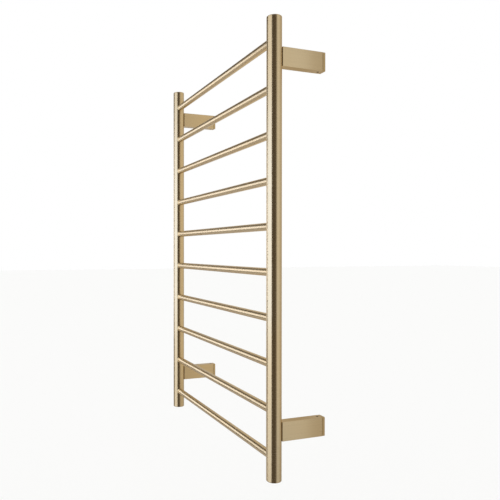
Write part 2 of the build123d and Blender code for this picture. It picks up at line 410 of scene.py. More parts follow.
def finish_shading(mesh: Mesh, hard_angle: float = HARD_ANGLE) -> Mesh:
    """Shade a hard-edged mesh so that its flats stay flat and its rounded edges run smooth.

    Args:
        mesh: The mesh.
        hard_angle: Edges sharper than this, in degrees, stay hard.

    Returns:
        A copy with weighted normals.
    """
    mesh.polygons.foreach_set("use_smooth", [True] * len(mesh.polygons))
    mesh.set_sharp_from_angle(angle=math.radians(hard_angle))
    work = new_object(mesh.name + "_shading", mesh)
    weighted = work.modifiers.new("weighted", "WEIGHTED_NORMAL")
    weighted.keep_sharp = True
    weighted.weight = FLAT_WEIGHT
    return settle(work, mesh.name)


# ---------------------------------------------------------------- finishes


def new_material(name: str) -> tuple[Material, Tree, Node]:
    """Start a material.

    Args:
        name: Its name.

    Returns:
        The material, its node tree and its Principled shader.
    """
    material = bpy.data.materials.new(name)
    material.use_nodes = True
    return material, material.node_tree, material.node_tree.nodes["Principled BSDF"]


def texture_surface(
    shader: Node, pattern: Socket, span: Span, roughness: Span, bump: float, depth_mm: float
) -> None:
    """Let a pattern vary a shader's roughness and give its surface relief.

    Args:
        shader: The Principled shader.
        pattern: The pattern's height.
        span: The heights that get the lowest and the highest roughness.
        roughness: Lowest and highest roughness.
        bump: Strength of the relief.
        depth_mm: Depth of the relief.
    """
    tree = shader.id_data
    gloss = add_node(tree, "ShaderNodeMapRange", dict(zip(RANGE, (pattern, *span, *roughness))))
    bumps = {"Height": pattern, "Strength": bump, "Distance": depth_mm * MM}
    relief = add_node(tree, "ShaderNodeBump", bumps)
    tree.links.new(gloss.outputs["Result"], shader.inputs["Roughness"])
    tree.links.new(relief.outputs["Normal"], shader.inputs["Normal"])


@dataclass(frozen=True)
class BrushedCoat:
    """Stainless steel brushed with an abrasive belt, then coated a champagne colour in vacuum.

    The coat is thinner than the scratches, so the grain of the belt shows through it: the shine is
    drawn out across the scratches and stays crisp along them.
    """

    name: str
    slot: str
    colour: str
    grain: Grain
    roughness: float = 0.24
    anisotropy: float = 0.6
    scratch_pitch_mm: float = 0.35   # real scratches are finer; drawn as coarse as they need to show
    scratch_length_mm: float = 22.0
    streak_scale: float = 0.13       # how often streaks repeat, as a share of how often scratches do
    streak_shades: Span = (0.965, 1.015)
    gloss: Span = (-0.03, 0.04)      # change of roughness, between scratches and in them
    drift_mm: float = 150.0          # size of the slow changes of tint along the coat
    redder: Point = (1.0, 0.975, 0.94)
    greener: Point = (0.985, 1.0, 1.03)
    bump: float = 0.025
    relief_mm: float = 0.02

    def scales(self) -> Point:
        """Work out how often the scratches repeat along each axis.

        Returns:
            Waves per metre along X, Y and Z.
        """
        fine = 1 / (self.scratch_pitch_mm * MM)
        slow = 1 / (self.scratch_length_mm * MM)
        return {
            Grain.AROUND_Z: (slow, slow, fine),
            Grain.AROUND_X: (fine, slow, slow),
            Grain.ALONG_Y: (fine, slow, fine),
            Grain.NONE: (fine, fine, fine),
        }[self.grain]

    def tangent(self, tree: Tree) -> Socket | None:
        """Add the nodes that give the direction across the scratches, in which the shine is drawn out.

        Args:
            tree: The material's node tree.

        Returns:
            The direction, or None where the surface has none.
        """
        if self.grain is Grain.NONE:
            return None
        along = {Grain.AROUND_Z: (0.0, 0.0, 1.0), Grain.AROUND_X: (1.0, 0.0, 0.0)}
        if self.grain in along:
            across = add_node(tree, "ShaderNodeCombineXYZ", dict(zip("XYZ", along[self.grain])))
        else:
            normal = add_node(tree, "ShaderNodeNewGeometry").outputs["Normal"]
            terms = {0: (0.0, 1.0, 0.0), 1: normal}
            across = add_node(tree, "ShaderNodeVectorMath", terms, operation="CROSS_PRODUCT")
        return across.outputs["Vector"]

    def material(self) -> Material:
        """Build the material.

        Returns:
            The new material.
        """
        material, tree, shader = new_material(self.name)
        shader.inputs["Metallic"].default_value = 1.0
        shader.inputs["Anisotropic"].default_value = 0.0 if self.grain is Grain.NONE else self.anisotropy
        place = add_node(tree, "ShaderNodeTexCoord").outputs["Object"]
        spread = {"Vector": place, "Scale": self.scales()}
        stretched = add_node(tree, "ShaderNodeMapping", spread).outputs["Vector"]
        fine = {"Vector": stretched, "Scale": 1.0, "Detail": 3.0, "Roughness": 0.6}
        scratches = add_node(tree, "ShaderNodeTexNoise", fine)
        coarse = {"Vector": stretched, "Scale": self.streak_scale, "Detail": 2.0}
        streaks = add_node(tree, "ShaderNodeTexNoise", coarse)
        slow = {"Vector": place, "Scale": 1 / (self.drift_mm * MM), "Detail": 1.0}
        drift = add_node(tree, "ShaderNodeTexNoise", slow)
        # The coat drifts slowly from a redder to a greener gold, and some streaks are a shade darker.
        base = linear(self.colour)
        stops = ((0.3, scaled(base, self.redder)), (0.7, scaled(base, self.greener)))
        tint = add_node(tree, "ShaderNodeValToRGB", {"Fac": drift.outputs["Fac"]}, stops)
        spans = (streaks.outputs["Fac"], 0.25, 0.75, *self.streak_shades)
        shade = add_node(tree, "ShaderNodeMapRange", dict(zip(RANGE, spans)))
        shades = {0: tint.outputs["Color"], "Scale": shade.outputs["Result"]}
        coat = add_node(tree, "ShaderNodeVectorMath", shades, operation="SCALE")
        tree.links.new(coat.outputs["Vector"], shader.inputs["Base Color"])
        roughness = tuple(self.roughness + change for change in self.gloss)
        texture_surface(shader, scratches.outputs["Fac"], NOISE_SPAN, roughness, self.bump, self.relief_mm)
        direction = self.tangent(tree)
        if direction is not None:
            tree.links.new(direction, shader.inputs["Tangent"])
        return material


@dataclass(frozen=True)
class PlainMetal:
    """Uncoated or plated hardware metal with faint turning marks and handling stains."""

    name: str
    slot: str
    colour: str
    stain: str
    roughness: float
    stain_mm: float = 6.0
    mark_mm: float = 0.6
    gloss: Span = (0.8, 1.25)        # roughness between marks and in them, as a share of the whole's
    bump: float = 0.15
    relief_mm: float = 0.02

    def material(self) -> Material:
        """Build the material.

        Returns:
            The new material.
        """
        material, tree, shader = new_material(self.name)
        shader.inputs["Metallic"].default_value = 1.0
        place = add_node(tree, "ShaderNodeTexCoord").outputs["Object"]
        cloudy = {"Vector": place, "Scale": 1 / (self.stain_mm * MM), "Detail": 4.0}
        clouds = add_node(tree, "ShaderNodeTexNoise", cloudy)
        stops = ((0.35, linear(self.stain)), (0.6, linear(self.colour)))
        colour = add_node(tree, "ShaderNodeValToRGB", {"Fac": clouds.outputs["Fac"]}, stops)
        tree.links.new(colour.outputs["Color"], shader.inputs["Base Color"])
        fine = {"Vector": place, "Scale": 1 / (self.mark_mm * MM), "Detail": 2.0}
        marks = add_node(tree, "ShaderNodeTexNoise", fine)
        roughness = tuple(self.roughness * share for share in self.gloss)
        texture_surface(shader, marks.outputs["Fac"], NOISE_SPAN, roughness, self.bump, self.relief_mm)
        return material


@dataclass(frozen=True)
class MouldedPolymer:
    """A moulded or extruded plastic or rubber, with the fine spark-eroded texture of its tool and painted
    shade in its hollows.
    """

    name: str
    slot: str
    colour: str
    roughness: float
    ior: float = 1.5
    texture_mm: float = 0.4
    # painted shade: the hollows of the texture are drawn darker, at this share of the colour
    shadow: float = 0.85             # brightness in the texture's hollows
    gloss: Span = (-0.06, 0.08)      # change of roughness, in the hollows and on the peaks
    bump: float = 0.2
    relief_mm: float = 0.03

    def material(self) -> Material:
        """Build the material.

        Returns:
            The new material.
        """
        material, tree, shader = new_material(self.name)
        shader.inputs["IOR"].default_value = self.ior
        place = add_node(tree, "ShaderNodeTexCoord").outputs["Object"]
        grain = {"Vector": place, "Scale": 1 / (self.texture_mm * MM), "Detail": 3.0}
        texture = add_node(tree, "ShaderNodeTexNoise", grain).outputs["Fac"]
        base = linear(self.colour)
        # painted shade in the hollows of the moulded texture, which the same noise sinks as bumps
        stops = ((0.0, scaled(base, (self.shadow,) * 3)), (1.0, base))
        colour = add_node(tree, "ShaderNodeValToRGB", {"Fac": texture}, stops)
        tree.links.new(colour.outputs["Color"], shader.inputs["Base Color"])
        roughness = tuple(self.roughness + change for change in self.gloss)
        texture_surface(shader, texture, (0.0, 1.0), roughness, self.bump, self.relief_mm)
        return material


Finish = BrushedCoat | PlainMetal | MouldedPolymer

CHAMPAGNE = "#e4cfa6"
UPRIGHT_COAT = BrushedCoat(
    "centreless_brushed_champagne_steel", "brushed_champagne_tube", CHAMPAGNE, Grain.AROUND_Z
)
BAR_COAT = BrushedCoat("brushed_champagne_steel_bar", "brushed_champagne_bar", CHAMPAGNE, Grain.AROUND_X)
ARM_COAT = BrushedCoat(
    "linished_champagne_steel_box_section", "brushed_champagne_arm", CHAMPAGNE, Grain.ALONG_Y, roughness=0.3
)
BOSS_COAT = BrushedCoat(
    "satin_champagne_cast_steel",
    "satin_champagne_boss",
    "#dac293",
    Grain.NONE,
    roughness=0.33,
    scratch_pitch_mm=0.5,
)
BLACK_OXIDE = PlainMetal("black_oxide_steel", "black_oxide_screw", "#1d1a17", "#11100e", 0.5)
GROMMET_RUBBER = MouldedPolymer("moulded_rubber", "grommet_rubber", "#1a1a1b", 0.7, 1.52)
HARDWARE: tuple[Finish, ...] = (
    PlainMetal("turned_stainless_steel", "stainless_insert", "#c9c6c0", "#a8a49c", 0.32),
    PlainMetal("bright_zinc_plated_steel", "zinc_fastener", "#d3d6d8", "#aab0b6", 0.28),
    BLACK_OXIDE,
    PlainMetal("machined_brass", "earth_brass", "#d8b566", "#b08a44", 0.27),
    MouldedPolymer("extruded_red_silicone", "silicone_cable", "#b4362a", 0.5, 1.43),
    MouldedPolymer("extruded_white_silicone", "lead_jacket", "#e6e4de", 0.5, 1.43),
    MouldedPolymer("heat_shrink_tube", "crimp_sleeve", "#1d1d1f", 0.45),
    MouldedPolymer("moulded_black_silicone", "seal_silicone", "#222224", 0.55, 1.43),
    MouldedPolymer("glass_filled_nylon", "cutout_case", "#3a3a3d", 0.6, 1.53),
    GROMMET_RUBBER,
    MouldedPolymer("natural_polyamide", "terminal_polyamide", "#e9e5d8", 0.42, 1.53),
)


class FinishShelf:
    """Holds each finish's material once, by the record's material slot."""

    def __init__(self) -> None:
        """Build every material."""
        finishes = (UPRIGHT_COAT, BAR_COAT, ARM_COAT, BOSS_COAT, *HARDWARE)
        self.materials = {finish.slot: finish.material() for finish in finishes}

    def dress(self, piece: Piece, slot: str) -> None:
        """Give a piece the material of a slot in place of what it had."""
        piece.data.materials.clear()
        piece.data.materials.append(self.materials[slot])

    def dress_cad(self) -> None:
        """Give every CAD node the material of its own slot."""
        for part in frame["record"]["subparts"]:
            node = frame["nodes"][part["node"]]
            material = self.materials[part["material_slot"]]
            if not node.material_slots:
                node.data.materials.append(material)
            for place in node.material_slots:
                place.material = material


def stand_in(shelf: FinishShelf, name: str, mesh: Mesh, body: str, slot: str, nodes: Sequence[str]) -> Piece:
    """Put a finished mesh in the place of CAD nodes.

    Args:
        shelf: Where the material comes from.
        name: Name of the piece.
        mesh: Its mesh, in place.
        body: The CAD body that it moves with.
        slot: The record's material slot.
        nodes: The CAD nodes that it stands for.

    Returns:
        The piece.
    """
    piece = new_object(name, mesh)
    shelf.dress(piece, slot)
    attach(piece, body)
    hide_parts(*nodes)
    LOG.info("%s: %d faces, on %s", name, len(mesh.polygons), body)
    return piece


# ---------------------------------------------------------------- geometry trees


def open_tree(name: str, inputs: dict[str, str]) -> tuple[Tree, bpy.types.NodeOutputs]:
    """Start a Geometry Nodes tree with named inputs and one geometry output.

    Args:
        name: Name of the tree.
        inputs: Input name to the kind of its socket, such as "Float".

    Returns:
        The tree, and the sockets that give its inputs.
    """
    tree = bpy.data.node_groups.new(name, "GeometryNodeTree")
    for label, kind in inputs.items():
        tree.interface.new_socket(label, in_out="INPUT", socket_type="NodeSocket" + kind)
    tree.interface.new_socket("Geometry", in_out="OUTPUT", socket_type="NodeSocketGeometry")
    return tree, add_node(tree, "NodeGroupInput").outputs


def close_tree(tree: Tree, shape: Socket, finish: Socket) -> Tree:
    """Make a tree's shape real, dress it and send it to the output.

    Args:
        tree: The tree.
        shape: The shape.
        finish: Its material.

    Returns:
        The finished tree.
    """
    solid = add_node(tree, "GeometryNodeRealizeInstances", {"Geometry": shape})
    coat = {"Geometry": solid.outputs["Geometry"], "Material": finish}
    dressed = add_node(tree, "GeometryNodeSetMaterial", coat)
    add_node(tree, "NodeGroupOutput", {"Geometry": dressed.outputs["Geometry"]})
    return tree


def raise_shape(tree: Tree, shape: Socket, height: Socket, share: float) -> Socket:
    """Add nodes that move a shape along Z by a share of a height.

    Args:
        tree: The Geometry Nodes tree.
        shape: The shape.
        height: The height.
        share: The share of it.

    Returns:
        The moved shape.
    """
    rise = add_node(tree, "ShaderNodeMath", {0: height, 1: share}, operation="MULTIPLY")
    way = add_node(tree, "ShaderNodeCombineXYZ", {"Z": rise.outputs[0]})
    moved = add_node(tree, "GeometryNodeTransform", {"Geometry": shape, "Translation": way.outputs[0]})
    return moved.outputs["Geometry"]


def grow(name: str, tree: Tree, sizes: dict[str, object]) -> Mesh:
    """Run a Geometry Nodes tree once and keep what it makes as a plain mesh.

    Args:
        name: Name of the mesh.
        tree: The tree.
        sizes: Input name to value.

    Returns:
        The mesh.
    """
    seed = new_object(name + "_seed", bpy.data.meshes.new(name + "_seed"))
    run = seed.modifiers.new("grow", "NODES")
    run.node_group = tree
    for socket in tree.interface.items_tree:
        if socket.in_out == "INPUT":
            value = sizes[socket.name]
            run[socket.identifier] = list(value) if isinstance(value, (Vector, tuple)) else value
    return settle(seed, name)


# ---------------------------------------------------------------- ladder


@dataclass
class Upright:
    """A round upright with its two end caps, ground to one skin."""

    side: Side
    edge_radius: float = 1.5 * MM
    edge_steps: int = 8
    support: float = 0.2 * MM        # ring beside each rounded edge, which keeps the flats flat
    segments: int = 128

    def mesh(self) -> Mesh:
        """Make the skin of tube and caps.

        Returns:
            A closed mesh.
        """
        side = self.side.value
        tube = f"upright_{side}"
        radius = size_of(tube).x / 2
        bottom = box_of(f"upright_cap_bottom_{side}")[0].z
        top = box_of(f"upright_cap_top_{side}")[1].z
        flat = radius - self.edge_radius - self.support
        end = [(0.0, 0.0), (flat / 2, 0.0), (flat, 0.0)]
        end += [(radius - inset, rise) for inset, rise in quarter(self.edge_radius, self.edge_steps)]
        end.append((radius, self.edge_radius + self.support))
        profile = [(reach, bottom + rise) for reach, rise in end]
        profile += [(reach, top - rise) for reach, rise in reversed(end)]
        return finish_shading(lathe(tube + "_skin", profile, centre_of(tube), Axis.Z, self.segments))

    def build(self, shelf: FinishShelf) -> Piece:
        """Make the upright in place of its tube and caps.

        Args:
            shelf: Where the material comes from.

        Returns:
            The piece.
        """
        side = self.side.value
        nodes = [f"upright_{side}", *(f"upright_cap_{level.value}_{side}" for level in Level)]
        return stand_in(shelf, f"upright_{side}_skin", self.mesh(), "rack", UPRIGHT_COAT.slot, nodes)


@dataclass
class CrossBars:
    """The ladder's cross bars, each with a small ground-down weld where it meets the uprights."""

    weld: float = 0.9 * MM
    sink: float = 0.05 * MM          # how far the foot of the weld goes under the upright's skin
    lead_in: float = 3.0             # where the bar's even stretch ends, in welds before its corner
    segments: int = 64
    weld_steps: int = 5

    def __post_init__(self) -> None:
        """Find the bars in the frame, from the top down."""
        self.names = sorted(name for name in frame["nodes"] if name.startswith("bar_"))
        self.top = centre_of(self.names[0])
        self.pitch = self.top.z - centre_of(self.names[1]).z
        self.radius = size_of(self.names[0]).z / 2
        self.upright_x = centre_of("upright_right").x
        self.upright_radius = size_of("upright_right").x / 2

    def meeting(self, reach: float, angle: float) -> float:
        """Return how far along X a line at this distance and angle from the bar's axis meets the upright."""
        offset = reach * math.cos(angle)
        return self.upright_x - math.sqrt(self.upright_radius**2 - offset**2)

    def stations(self, angle: float) -> list[Span]:
        """Return (X, radius) along one line of the bar, from its middle to its pole in the upright.

        Args:
            angle: The line's angle round the bar, from +Y.

        Returns:
            The stations.
        """
        corner = self.meeting(self.radius, angle)
        foot = self.meeting(self.radius + self.weld, angle) + self.sink
        line = [(0.0, self.radius), (corner - self.lead_in * self.weld, self.radius)]
        for step in range(self.weld_steps + 1):
            t = step / self.weld_steps
            x = (1 - t) ** 2 * (corner - self.weld) + 2 * t * (1 - t) * corner + t**2 * foot
            line.append((x, self.radius + t**2 * self.weld))
        line.append((self.upright_x - self.upright_radius / 2, 0.0))
        return line

    def one_bar(self) -> Mesh:
        """Make one bar, its middle at the origin.

        Returns:
            A closed mesh.
        """
        lines = []
        for step in range(self.segments):
            angle = 2 * math.pi * step / self.segments
            half = self.stations(angle)
            both = [(-x, r) for x, r in reversed(half)] + half[1:]
            lines.append([(x, r * math.cos(angle), r * math.sin(angle)) for x, r in both])
        return skin("one_bar", list(zip(*lines)), end_faces=False)

    def tree(self, bar: Piece) -> Tree:
        """Build the Geometry Nodes tree that sets the bars one pitch apart.

        Args:
            bar: The bar that is repeated.

        Returns:
            The tree.
        """
        inputs = {"Count": "Int", "Top Bar": "Vector", "Step": "Vector", "Finish": "Material"}
        tree, given = open_tree("bars_at_a_pitch", inputs)
        row = {"Count": given["Count"], "Start Location": given["Top Bar"], "Offset": given["Step"]}
        places = add_node(tree, "GeometryNodeMeshLine", row)
        shape = add_node(tree, "GeometryNodeObjectInfo", {"Object": bar})
        set_out = {"Points": places.outputs["Mesh"], "Instance": shape.outputs["Geometry"]}
        copies = add_node(tree, "GeometryNodeInstanceOnPoints", set_out)
        return close_tree(tree, copies.outputs["Instances"], given["Finish"])

    def build(self, shelf: FinishShelf) -> Piece:
        """Make all the bars as one piece in place of the CAD bars.

        Args:
            shelf: Where the material comes from.

        Returns:
            The piece.
        """
        bar = new_object("one_bar", finish_shading(self.one_bar()))
        sizes = {
            "Count": len(self.names),
            "Top Bar": self.top,
            "Step": (0.0, 0.0, -self.pitch),
            "Finish": shelf.materials[BAR_COAT.slot],
        }
        mesh = grow("cross_bars", self.tree(bar), sizes)
        bpy.data.objects.remove(bar, do_unlink=True)
        return stand_in(shelf, "cross_bars", mesh, "rack", BAR_COAT.slot, self.names)


# ---------------------------------------------------------------- wall mounts


@dataclass
class MountPiece:
    """A piece of one of the four mounts that hold the rack to the wall."""

    level: Level
    side: Side

    def node(self, kind: str) -> str:
        """Return the name of this mount's CAD node of a kind."""
        return f"{kind}_{self.level.value}_{self.side.value}"

    @property
    def wired(self) -> bool:
        """Tell whether the supply cable comes in at this mount."""
        return (self.level, self.side) == (Level.BOTTOM, Side.RIGHT)


@dataclass
class WallArm(MountPiece):
    """A box-section arm, open at the wall end, whose closed front is a saddle for the upright."""

    wall: float = 1.5 * MM
    plate: float = 2.0 * MM
    saddle: float = 1.5 * MM         # depth of the saddle
    saddle_segments: int = 192
    seat_clearance: float = 0.1 * MM
    corner: float = 1.0 * MM
    inner_corner: float = 0.3 * MM
    front_edge: float = 0.6 * MM
    wall_edge: float = 0.3 * MM
    hard_angle: float = 24.0         # the saddle meets the arm's sides at a blunt angle
    grub_hole_radius: float = 2.6 * MM
    grub_countersink: float = 0.35 * MM
    screw_hole_radius: float = 3.1 * MM
    lead_hole_radius: float = 3.5 * MM
    front_hole_segments: int = 32

    def mesh(self) -> Mesh:
        """Make the arm with its cavity, saddle and holes.

        Returns:
            A closed mesh.
        """
        low, high = box_of(self.node("arm"))
        centre = (low + high) / 2
        size = high - low
        edges = (self.front_edge, self.wall_edge)
        body = prism(self.node("arm"), centre, (size.x, size.z), (low.y, high.y), self.corner, edges)
        bore = (size.x - 2 * self.wall, size.z - 2 * self.wall)
        reach = (low.y + self.saddle + self.plate, high.y + self.plate)
        cavity = prism("cavity", centre, bore, reach, self.inner_corner, (self.inner_corner,) * 2)
        cuts = [cavity, self.saddle_cutter(centre.z, size.z), self.grub_hole(centre.z, size.z)]
        screw = centre_of(self.node("arm_screw"))
        cuts.append(self.front_hole(screw, low.y, self.screw_hole_radius))
        if self.wired:
            cuts.append(self.front_hole(centre_of("lead_grommet"), low.y, self.lead_hole_radius))
        return finish_shading(carve(self.node("arm") + "_shell", body, cuts), self.hard_angle)

    def saddle_cutter(self, middle: float, height: float) -> Mesh:
        """Make the round of the upright, which hollows the front of the arm.

        Args:
            middle: Z of the arm's axis.
            height: The arm's height.

        Returns:
            The cutter.
        """
        upright = f"upright_{self.side.value}"
        radius = size_of(upright).x / 2 + self.seat_clearance
        reach = (middle - height, middle + height)
        return rod("saddle", radius, reach, centre_of(upright), Axis.Z, self.saddle_segments)

    def grub_hole(self, middle: float, height: float) -> Mesh:
        """Make the cutter of the countersunk hole over the grub screw.

        Args:
            middle: Z of the arm's axis.
            height: The arm's height.

        Returns:
            The cutter.
        """
        grub = centre_of(self.node("grub_screw"))
        outward = 1 if grub.z > middle else -1
        face = middle + outward * height / 2
        inside = face - outward * 2 * self.wall
        outside = face + outward * self.wall
        radius = self.grub_hole_radius
        flare = radius + self.grub_countersink
        neck = face - outward * self.grub_countersink
        profile = [(0.0, inside), (radius, inside), (radius, neck), (flare, face)]
        profile += [(flare, outside), (0.0, outside)]
        return lathe("grub_hole", profile, grub, Axis.Z)

    def front_hole(self, centre: Vector, front: float, radius: float) -> Mesh:
        """Return the cutter of a hole through the front plate."""
        reach = (front - self.plate, front + self.saddle + 2 * self.plate)
        return rod("hole", radius, reach, centre, Axis.Y, self.front_hole_segments)

    def build(self, shelf: FinishShelf) -> Piece:
        """Make the arm in place of its CAD node."""
        node = self.node("arm")
        return stand_in(shelf, node + "_shell", self.mesh(), "rack", ARM_COAT.slot, [node])


@dataclass
class WallBoss(MountPiece):
    """A cast wall boss: a flange with softened edges and the block inside the arm."""

    flange: float = 6.0 * MM
    flange_corner: float = 1.6 * MM
    flange_edge: float = 0.5 * MM
    back_edge: float = 0.8 * MM
    block_inset: float = 1.8 * MM     # arm wall and slide clearance
    block_edge: float = 0.8 * MM
    screw_radius: float = 2.6 * MM
    head_radius: float = 5.0 * MM
    head_depth: float = 5.0 * MM
    slot_width: float = 9.6 * MM
    slot_clearance: float = 0.3 * MM
    slot_end_edge: float = 0.01 * MM
    entry_radius: float = 4.7 * MM

    def mesh(self) -> Mesh:
        """Make the boss with its recesses.

        Returns:
            A closed mesh.
        """
        node = self.node("wall_boss")
        low, high = box_of(node)
        centre = (low + high) / 2
        size = high - low
        front = high.y - self.flange
        edges = (self.flange_edge, self.back_edge)
        flange = prism(node, centre, (size.x, size.z), (front, high.y), self.flange_corner, edges)
        block_size = (size.x - 2 * self.block_inset, size.z - 2 * self.block_inset)
        block_reach = (low.y, front + self.flange / 2)
        block_edges = (self.block_edge, self.block_edge)
        block = prism("block", centre, block_size, block_reach, self.block_edge / 2, block_edges, 3)
        through = (low.y - self.flange, high.y + self.flange)
        cuts = [self.nut_slot(centre, size.z, (through[0], front)), self.screw_hole(centre, low.y, through)]
        if self.wired:
            cuts.append(rod("entry", self.entry_radius, through, centre_of("cable_grommet"), Axis.Y))
        return finish_shading(carve(node + "_casting", flange, cuts, block))

    def nut_slot(self, centre: Vector, height: float, reach: Span) -> Mesh:
        """Make the cutter of the slot that clears the nut inside the arm.

        Args:
            centre: Middle of the boss.
            height: Its height.
            reach: Lowest and highest Y of the slot.

        Returns:
            The cutter.
        """
        nut_low, nut_high = box_of(self.node("grub_nut"))
        outward = 1 if nut_low.z > centre.z else -1
        floor = (nut_low.z if outward > 0 else nut_high.z) - outward * self.slot_clearance
        middle = Vector((centre.x, 0.0, floor + outward * height / 4))
        edges = (self.slot_clearance, self.slot_end_edge)
        return prism("slot", middle, (self.slot_width, height / 2), reach, self.slot_clearance, edges, 2)

    def screw_hole(self, centre: Vector, front: float, reach: Span) -> Mesh:
        """Make the cutter of the wall screw's hole, with room for its head.

        Args:
            centre: Middle of the boss.
            front: Y of the block's front face.
            reach: Lowest and highest Y of the cutter.

        Returns:
            The cutter.
        """
        start, end = reach
        pocket = front + self.head_depth
        head, shank = self.head_radius, self.screw_radius
        profile = [(0.0, start), (head, start), (head, pocket), (shank, pocket), (shank, end), (0.0, end)]
        return lathe("screw", profile, centre, Axis.Y)

    def build(self, shelf: FinishShelf) -> Piece:
        """Make the boss in place of its CAD node."""
        node = self.node("wall_boss")
        return stand_in(shelf, node + "_casting", self.mesh(), "wall_bosses", BOSS_COAT.slot, [node])


@dataclass
class GrubScrew(MountPiece):
    """A black hexagon-socket grub screw with a cut thread."""

    thread_pitch: float = 0.8 * MM
    thread_depth: float = 0.35 * MM
    socket: float = 2.5 * MM          # across flats
    socket_depth: float = 2.4 * MM

    @staticmethod
    def tree() -> Tree:
        """Build the Geometry Nodes tree of a threaded screw with a hexagon socket, standing on the origin.

        Returns:
            The tree.
        """
        lengths = ("Core Radius", "Length", "Turns", "Ridge", "Socket Radius", "Socket Depth")
        inputs = dict.fromkeys(lengths, "Float") | {"Foot": "Vector", "Turn": "Vector", "Finish": "Material"}
        tree, size = open_tree("hexagon_socket_grub_screw", inputs)
        whole = {"Vertices": HOLE_SEGMENTS, "Radius": size["Core Radius"], "Depth": size["Length"]}
        core = add_node(tree, "GeometryNodeMeshCylinder", whole)
        standing = raise_shape(tree, core.outputs["Mesh"], size["Length"], 0.5)
        # The thread is a square ridge on edge, half sunk into the core, that climbs it.
        climb = add_node(tree, "ShaderNodeMath", {0: size["Length"], 1: THREAD_SHARE}, operation="MULTIPLY")
        radii = dict.fromkeys(("Start Radius", "End Radius"), size["Core Radius"])
        path = {"Resolution": 32, "Rotations": size["Turns"], "Height": climb.outputs[0], **radii}
        helix = add_node(tree, "GeometryNodeCurveSpiral", path).outputs["Curve"]
        square = {"Resolution": 4, "Radius": size["Ridge"]}
        section = add_node(tree, "GeometryNodeCurvePrimitiveCircle", square).outputs["Curve"]
        sweep = {"Curve": helix, "Profile Curve": section, "Fill Caps": True}
        ridge = add_node(tree, "GeometryNodeCurveToMesh", sweep)
        thread = raise_shape(tree, ridge.outputs["Mesh"], size["Length"], (1 - THREAD_SHARE) / 2)
        hexagon = {"Vertices": 6, "Radius": size["Socket Radius"], "Depth": size["Socket Depth"]}
        recess = add_node(tree, "GeometryNodeMeshCylinder", hexagon)
        # The recess runs past the end face, for a clean cut: its middle lies a quarter of its depth below.
        lowered = raise_shape(tree, recess.outputs["Mesh"], size["Socket Depth"], -0.25)
        placed = raise_shape(tree, lowered, size["Length"], 1.0)
        bodies = {"Mesh 1": standing, "Mesh 2": placed}
        cut = add_node(tree, "GeometryNodeMeshBoolean", bodies, operation="DIFFERENCE")
        both = add_node(tree, "GeometryNodeJoinGeometry", {"Geometry": cut.outputs["Mesh"]})
        tree.links.new(thread, both.inputs["Geometry"])
        aim = {"Geometry": both.outputs["Geometry"], "Translation": size["Foot"], "Rotation": size["Turn"]}
        aimed = add_node(tree, "GeometryNodeTransform", aim)
        return close_tree(tree, aimed.outputs["Geometry"], size["Finish"])

    def build(self, shelf: FinishShelf, tree: Tree) -> Piece:
        """Make the screw in place of its CAD node.

        Args:
            shelf: Where the material comes from.
            tree: The tree of such a screw.

        Returns:
            The piece.
        """
        node = self.node("grub_screw")
        low, high = box_of(node)
        centre = (low + high) / 2
        upward = centre.z > centre_of(self.node("arm")).z
        length = high.z - low.z
        sizes = {
            "Core Radius": (high.x - low.x) / 2 - self.thread_depth,
            "Length": length,
            "Turns": THREAD_SHARE * length / self.thread_pitch,
            "Ridge": self.thread_depth,
            "Socket Radius": self.socket / math.sqrt(3),
            "Socket Depth": 4 / 3 * self.socket_depth,
            "Foot": (centre.x, centre.y, low.z if upward else high.z),
            "Turn": (0.0 if upward else math.pi, 0.0, 0.0),
            "Finish": shelf.materials[BLACK_OXIDE.slot],
        }
        mesh = finish_shading(grow(node + "_threaded", tree, sizes))
        return stand_in(shelf, node + "_threaded", mesh, node, BLACK_OXIDE.slot, [node])


@dataclass
class CableGrommet:
    """The rubber grommet in the wired boss, with rolled rims."""

    rim: float = 0.5 * MM
    rim_steps: int = 3
    inner_radius: float = 3.25 * MM
    segments: int = 64

    def build(self, shelf: FinishShelf) -> Piece:
        """Make the grommet in place of its CAD node.

        Args:
            shelf: Where the material comes from.

        Returns:
            The piece.
        """
        low, high = box_of("cable_grommet")
        outer = (high.x - low.x) / 2
        rim = [(self.inner_radius + inset, rise) for inset, rise in quarter(self.rim, self.rim_steps)]
        profile = [(radius, high.y - rise) for radius, rise in rim]
        profile += [(radius, low.y + rise) for radius, rise in reversed(rim)]
        profile += [(outer, low.y), (outer, high.y), profile[0]]
        mesh = lathe("cable_grommet_rubber", profile, (low + high) / 2, Axis.Y, self.segments)
        mesh = finish_shading(mesh)
        slot = GROMMET_RUBBER.slot
        return stand_in(shelf, "cable_grommet_rubber", mesh, "wall_bosses", slot, ["cable_grommet"])


# ---------------------------------------------------------------- studio


@dataclass(frozen=True)
class Glow:
    """A softly edged patch of light far off on the studio's walls.

    Angles are in degrees: azimuth runs from +X towards +Y, elevation is above the horizon.
    """

    azimuth: Span
    elevation: Span
    feather: Span                    # width of the soft edges, side to side and up and down
    colour: Point


@dataclass(frozen=True)
class Softbox:
    """A flat rectangular lamp that shines along +Y and shows as a band of shine on the metal."""

    name: str
    centre: Point
    size: Span
    colour: Point
    brightness: float = 1.0          # of the lamp's face, where paper white is 1

    def build(self) -> Piece:
        """Hang the lamp, out of the camera's sight and of the floor's.

        Returns:
            The lamp.
        """
        data = bpy.data.lights.new(self.name, "AREA")
        data.shape = "RECTANGLE"
        data.size, data.size_y = self.size
        data.color = self.colour
        data.energy = self.brightness * math.pi * self.size[0] * self.size[1]
        lamp = bpy.data.objects.new(self.name, data)
        lamp.location = self.centre
        lamp.rotation_euler = Vector((0.0, 1.0, 0.0)).to_track_quat("-Z", "Y").to_euler()
        lamp.visible_camera = False
        lamp.visible_diffuse = False
        bpy.context.scene.collection.objects.link(lamp)
        return lamp


